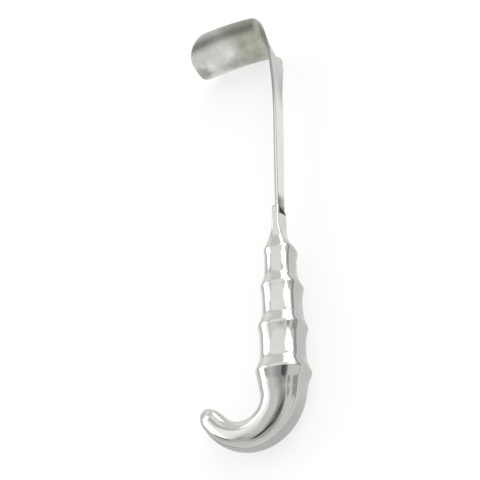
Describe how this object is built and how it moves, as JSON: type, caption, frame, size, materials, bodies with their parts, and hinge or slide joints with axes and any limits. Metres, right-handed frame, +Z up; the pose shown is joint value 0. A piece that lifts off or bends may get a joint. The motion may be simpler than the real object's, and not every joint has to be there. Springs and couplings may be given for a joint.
{
  "type": "handheld surgical retractor",
  "caption": "Handheld surgical retractor: a hollow trough blade set square to a flat tapering shank, with a ribbed hollow grip that ends in a finger hook.",
  "frame": {"origin": "middle of the bottom of the bounding box, on the surface that the instrument lies on", "axes": "+X along the shank from the blade to the hook, -Y the side that blade and hook point to, +Z up, across the blade's width"},
  "size_m": [0.2402, 0.0616, 0.0346],
  "materials": {
    "satin_steel": "satin stainless steel, fine matt grain on the blade, brighter on the shank",
    "polished_steel": "mirror-polished stainless steel"
  },
  "bodies": {
    "root": {"blade_and_shank": "satin_steel", "grip_handle": "polished_steel"}
  },
  "joints": []
}
